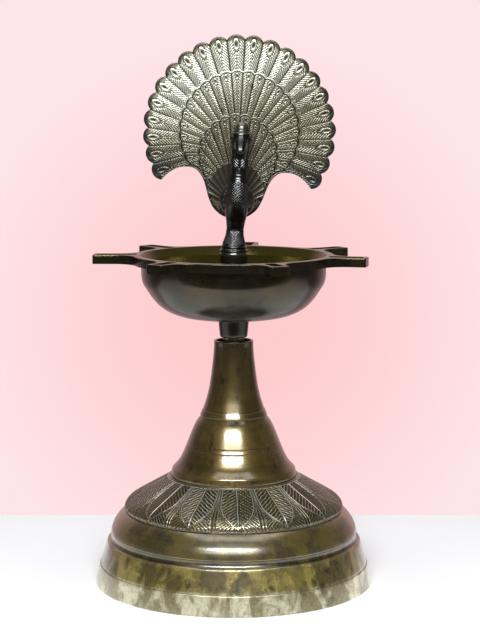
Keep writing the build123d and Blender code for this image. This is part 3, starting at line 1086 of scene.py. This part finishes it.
def tail_tone(flat):
    """Painted light on the tail: a painted silvery highlight towards the top and upper left, and
    painted blue grey shade at the lower sides.
    """
    x, y = flat[..., 0], flat[..., 1]
    # painted highlight, strongest towards the top and upper left
    light = smooth_step(-10, 85, 0.93 * y - 0.36 * x)
    # painted shade at the lower sides
    deep = smooth_step(-5, -75, y) * smooth_step(20, 60, np.abs(x))
    return light - deep


tail_tier(
    "tail_outer_feathers", (0, 0), (0, -10), 95.8, 11.7, 11.35, 22, 30, (0, 3.0), 42,
    outer_relief, tail_tone, ["tail_fan"], 1.3, core=(0, 38),
)
tail_tier(
    "tail_middle_feathers", (0, 0), (0, -22), 60.0, 9.5, 11.35, 24, 26, (2.0, 4.2), 52,
    middle_relief, tail_tone, beaded=1.0,
)
# the inner tier takes a weaker share of the painted highlight and shade, a little darker
tail_tier(
    "tail_inner_feathers", (0, -24.5), (0, -66), 38.2, 7.6, 16.2, 20, 30, (3.2, 5.4), 60,
    inner_relief, lambda flat: tail_tone(flat) * 0.7 - 0.05, beaded=1.0,
)
# the shell takes none of the painted highlight or shade and is darker all over
tail_tier(
    "tail_shell", (0, -64.5), (0, -84), 26.5, 5.6, 13.8, 15, 26, (4.4, 6.6), 34,
    shell_relief, lambda flat: tail_tone(flat) * 0 - 0.6,
)

# ---------------------------------------------------------------- peacock
lean = radians(3.8)
bird_z = finial_seat


def on_bird(side, front, height):
    """Lamp coordinates of places given to the side, to the front and up the bird's leaning axis."""
    x = side * cos(lean) + height * sin(lean)
    z = bird_z - side * sin(lean) + height * cos(lean)
    return np.stack(np.broadcast_arrays(x, -np.asarray(front, float), z), -1)


# up the bird: height, half width, half depth, and how far its middle is to the front
bird_stations = np.array([
    (2.6, 15.2, 15.2, 0), (3.4, 13.8, 13.8, 0), (4.2, 13.6, 13.6, 0), (5, 14.3, 14.3, 0),
    (6.4, 14.1, 14.1, 0), (7.4, 13.2, 13.2, 0), (10, 12.5, 12.5, 0), (14, 11.2, 11.2, 0),
    (19.5, 9.7, 9.7, 0), (26, 9.6, 9.2, 0), (34, 10.6, 10.4, 0.2), (42, 12.3, 12.4, 0.6),
    (50, 13.1, 14.4, 1.2), (57, 13.0, 15.6, 2), (63, 12.2, 15, 2.6), (69, 11.1, 13.2, 2.8),
    (75, 10.4, 11.5, 2.6), (82, 9.7, 9.9, 2), (92, 9.4, 9.1, 1.4), (104, 9.6, 9.1, 1.6),
    (114, 10.0, 9.5, 2.4), (121, 10.5, 10.5, 3.4), (126, 10.4, 10.9, 4), (130, 10.0, 10.5, 4),
    (132.2, 9.8, 10.1, 3.8), (133.2, 8.4, 8.7, 3.4), (134, 7.9, 7.9, 3), (136.5, 8.0, 7.9, 2.8),
    (139.5, 7.6, 7.5, 2.6), (142, 6.4, 6.2, 2.4), (143.8, 4.3, 4, 2.3), (144.5, 0.6, 0.6, 2.3),
])
heights = np.concatenate(
    [np.arange(2.6, 9, 0.4), np.arange(9, 130, 1.0), np.arange(130, 144.5, 0.35), [144.5]]
)
half_width, half_depth, forward = [
    np.interp(heights, bird_stations[:, 0], bird_stations[:, k]) for k in (1, 2, 3)
]
bird_sides = 72
around = np.arange(bird_sides) * 2 * pi / bird_sides
body_rings = on_bird(
    half_width[:, None] * np.cos(around),
    forward[:, None] - half_depth[:, None] * np.sin(around),
    heights[:, None] + 0 * around,
)


def ball(centre, radii, turn=0.0, count=28):
    """An ellipsoid in bird coordinates, turned about its side axis, as rings with tiny caps."""
    polar = np.linspace(0.06, pi - 0.06, count)[:, None]
    swing = np.arange(count * 2) * pi / count
    x = radii[0] * np.sin(polar) * np.cos(swing)
    y = radii[1] * np.sin(polar) * np.sin(swing)
    z = -radii[2] * np.cos(polar) + 0 * swing
    y, z = y * cos(turn) - z * sin(turn), y * sin(turn) + z * cos(turn)
    return on_bird(centre[0] + x, centre[1] - y, centre[2] + z)


def bill_rings():
    """The drooping bill: round at its root, flat above and blunt at its tip."""
    rings = []
    for t in np.linspace(0, 1, 26):
        front = 7.5 + 13.5 * t ** 0.9
        height = 127.5 - 3.0 * t - 15.5 * t**1.6
        droop = radians(14 + 52 * t)
        end = sqrt(1 - max(0.0, (t - 0.8) / 0.205) ** 2)
        wide = (7.0 - 2.4 * t) * end
        deep = (5.2 - 2.6 * t) * end
        side = wide * np.cos(around)
        thick = deep * np.sin(around)
        rings.append(on_bird(side, front + thick * sin(droop), height + thick * cos(droop)))
    return np.array(rings)


# radius and height of the round foot that stands level on the post
pedestal_foot = (
    (13.0, 0), (15.1, 0), (15.7, 0.6), (15.8, 1.3), (15.5, 2.2), (14.8, 2.9), (13.0, 3.4),
)
lumps = [
    body_rings,
    ball((0, -5.5, 57), (19.6, 15.5, 19.3)),
    ball((0, -1.5, 70), (10.5, 11.0, 15.0), 0.25),
    ball((0, 5.0, 124.6), (8.9, 9.2, 8.0)),
    ball((-10.2, 4.6, 124.6), (2.4, 2.6, 2.8)),
    ball((10.2, 4.6, 124.6), (2.4, 2.6, 2.8)),
    ball((0, 9.9, 91.0), (1.9, 1.9, 1.7)),
    bill_rings(),
    np.stack([
        np.stack([r * np.cos(around), r * np.sin(around), bird_z + h + 0 * around], -1)
        for r, h in pedestal_foot
    ]),
]
all_vertices, all_faces, offset = [], [], 0
for lump in lumps:
    vertices, faces = loft(lump, False)
    all_vertices.append(vertices)
    all_faces += [[corner + offset for corner in face] for face in faces]
    offset += len(vertices)
# the lumps are merged into one skin and softened where they meet
rough_mesh = bpy.data.meshes.new("bird_lumps")
rough_mesh.from_pydata(np.vstack(all_vertices).tolist(), [], all_faces)
rough_bird = bpy.data.objects.new("bird_lumps", rough_mesh)
bpy.context.scene.collection.objects.link(rough_bird)
skin = rough_bird.modifiers.new("skin", "REMESH")
skin.mode = "VOXEL"
skin.voxel_size = 0.55
soften = rough_bird.modifiers.new("soften", "SMOOTH")
soften.factor = 0.5
soften.iterations = 5
depsgraph = bpy.context.evaluated_depsgraph_get()
bird_mesh = bpy.data.meshes.new_from_object(rough_bird.evaluated_get(depsgraph))
bpy.data.objects.remove(rough_bird)
spots = np.empty(len(bird_mesh.vertices) * 3, np.float32)
normals = np.empty(len(bird_mesh.vertices) * 3, np.float32)
bird_mesh.vertices.foreach_get("co", spots)
bird_mesh.vertices.foreach_get("normal", normals)
spots, normals = spots.reshape(-1, 3).astype(float), normals.reshape(-1, 3)
rise_z = spots[:, 2] - bird_z
up_bird = spots[:, 0] * sin(lean) + rise_z * cos(lean)
side_bird = spots[:, 0] * cos(lean) - rise_z * sin(lean)
front_bird = -spots[:, 1]
bearing = np.abs(np.arctan2(side_bird, front_bird))
girth = np.hypot(side_bird, front_bird)
lap = girth * np.minimum(bearing, pi - bearing)


def between(low, high, fade=1.0):
    """1 between two heights up the bird, 0 outside them."""
    rising = smooth_step(low - fade, low + fade, up_bird)
    return rising * smooth_step(high + fade, high - fade, up_bird)


# Chevrons on the leg and throat, scales on the breast, and rings around leg, neck and crown
chasing_pitch = 3.0
chasing_height = 0.36
chased = np.cos(2 * pi * (up_bird - 0.95 * lap) / chasing_pitch)
scale_a = np.cos(2 * pi * (up_bird - 0.9 * lap) / chasing_pitch)
scale_b = np.cos(2 * pi * (up_bird + 0.9 * lap) / chasing_pitch)
scales = np.minimum(scale_a, scale_b) + 0.35
slim = smooth_step(15.5, 13.0, girth)
bird_relief = (
    chased * between(8.5, 24)
    + scales * between(53, 78, 1.5)
    + chased * between(94.5, 103.5) * smooth_step(1.0, 2.0, lap) * (front_bird > 0)
    + 0.25 * np.cos(2 * pi * up_bird / 3.4) * between(80, 88) * slim
    - 1.2 * bump_line(up_bird - 133.0, 0.55)
    - 1.0 * bump_line(up_bird - 7.6, 0.5)
)
bird_relief = np.clip(bird_relief, -1, 1)
# a painted highlight: a bright ring around the rim under the crest, coloured like a rubbed edge
bird_rim_painted_highlight = bump_line(up_bird - 131.9, 0.5) * smooth_step(7.0, 8.0, girth) * 0.9
bird_tone = smooth_step(133.5, 134.5, up_bird)
spots += normals * (chasing_height * bird_relief)[:, None]

# its back is flat where the tail lies against it
tail_behind_bird = 6.2
spots[:, 1] = np.minimum(spots[:, 1], tail_back - tail_behind_bird)
bird_mesh.vertices.foreach_set("co", (spots * MM).astype(np.float32).ravel())
add_attributes(bird_mesh, {"relief": bird_relief, "edge": bird_rim_painted_highlight, "tone": bird_tone})
bird_mesh.update()
bird = bpy.data.objects.new("peacock_casting", bird_mesh)
bpy.context.scene.collection.objects.link(bird)
finish_piece(bird, "finial", bird_bronze, ["peacock"], sharp=60)

# ---------------------------------------------------------------- stage, light and camera
def stage_plane(name, corners, colour, roughness, reflected=True):
    mesh = bpy.data.meshes.new(name)
    mesh.from_pydata(corners, [], [tuple(range(len(corners)))])
    plane = bpy.data.objects.new(name, mesh)
    bpy.context.scene.collection.objects.link(plane)
    material = bpy.data.materials.new(name)
    material.use_nodes = True
    shader = material.node_tree.nodes["Principled BSDF"]
    shader.inputs["Base Color"].default_value = (*colour, 1)
    shader.inputs["Roughness"].default_value = roughness
    mesh.materials.append(material)
    plane.visible_glossy = reflected


# The table's near part, and the rest of it, which the lamp does not reflect
stage_plane(
    "floor",
    [(-2.2, -0.62, 0), (2.2, -0.62, 0), (2.2, 0.30, 0), (-2.2, 0.30, 0)],
    (0.97, 0.97, 0.97),
    0.8,
)
stage_plane(
    "floor_around",
    [(-2.2, -2.4, -0.001), (2.2, -2.4, -0.001), (2.2, 0.2999, -0.001), (-2.2, 0.2999, -0.001)],
    (0.97, 0.97, 0.97),
    0.8,
    reflected=False,
)

world = bpy.data.worlds.new("studio")
bpy.context.scene.world = world
world.use_nodes = True
sky = world.node_tree
sky.nodes.clear()
sky_output = sky.nodes.new("ShaderNodeOutputWorld")
seen = sky.nodes.new("ShaderNodeBackground")
lit = sky.nodes.new("ShaderNodeBackground")
# the room reflects pale pink from behind the lamp and stays dim in front of it
direction = sky.nodes.new("ShaderNodeTexCoord")
split = sky.nodes.new("ShaderNodeSeparateXYZ")
sky.links.new(direction.outputs["Generated"], split.inputs[0])
depth = math_node(sky, "MULTIPLY_ADD", split.outputs["Y"], 0.5)
depth.node.inputs[2].default_value = 0.5
wall = ramp(
    sky,
    depth,
    (0.5, (0.045, 0.045, 0.047)),
    (0.75, (0.12, 0.09, 0.09)),
    (0.95, (0.60, 0.40, 0.41)),
)
sky.links.new(wall, lit.inputs["Color"])
# seen directly it is pinkest around the lamp's stem
apart = sky.nodes.new("ShaderNodeVectorMath")
apart.operation = "DISTANCE"
apart.inputs[1].default_value = (0, 0.99, -0.13)
sky.links.new(direction.outputs["Generated"], apart.inputs[0])
glow = ramp(
    sky,
    apart.outputs["Value"],
    (0.03, (0.99, 0.60, 0.61)),
    (0.08, (0.99, 0.66, 0.67)),
    (0.15, (0.99, 0.78, 0.81)),
)
sky.links.new(glow, seen.inputs["Color"])
camera_ray = sky.nodes.new("ShaderNodeLightPath")
pick = sky.nodes.new("ShaderNodeMixShader")
sky.links.new(camera_ray.outputs["Is Camera Ray"], pick.inputs[0])
sky.links.new(lit.outputs[0], pick.inputs[1])
sky.links.new(seen.outputs[0], pick.inputs[2])
sky.links.new(pick.outputs[0], sky_output.inputs[0])


def soft_box(name, place, target, size, power, colour=(1, 1, 1), reflected=True):
    """A rectangular lamp that the camera doesn't see."""
    light = bpy.data.lights.new(name, "AREA")
    light.shape = "RECTANGLE"
    light.size, light.size_y = size
    light.energy = power
    light.color = colour
    box = bpy.data.objects.new(name, light)
    bpy.context.scene.collection.objects.link(box)
    box.location = place
    aim = Vector(target) - box.location
    box.rotation_euler = aim.to_track_quat("-Z", "Y").to_euler()
    box.visible_camera = False
    box.visible_glossy = reflected


soft_box("key", (-0.1, -2.25, 1.82), (0, 0, 0.35), (2.0, 0.38), 80, (0.92, 0.96, 1.0))
soft_box("fill", (0, -2.5, 0.7), (0, 0, 0.2), (1.0, 0.5), 26, reflected=False)
soft_box("left", (-1.9, -0.7, 0.9), (0, 0, 0.3), (0.9, 1.3), 2.5, reflected=False)
soft_box("right", (1.9, -0.7, 0.9), (0, 0, 0.3), (0.9, 1.3), 2.5, reflected=False)
soft_box("top", (0, -0.1, 2.2), (0, 0, 0.2), (1.8, 1.6), 20)

# The camera looks level with the bowl, tipped down a little, with the lamp just left of centre
camera = bpy.data.objects.new("camera", bpy.data.cameras.new("camera"))
bpy.context.scene.collection.objects.link(camera)
camera.location = (0.0071, -2.0165, 0.5656)
camera.rotation_euler = (radians(90 - 7.602), 0, 0)
camera.data.lens = 102.27
camera.data.sensor_width = 36
bpy.context.scene.camera = camera
bpy.context.scene.view_settings.view_transform = "Standard"
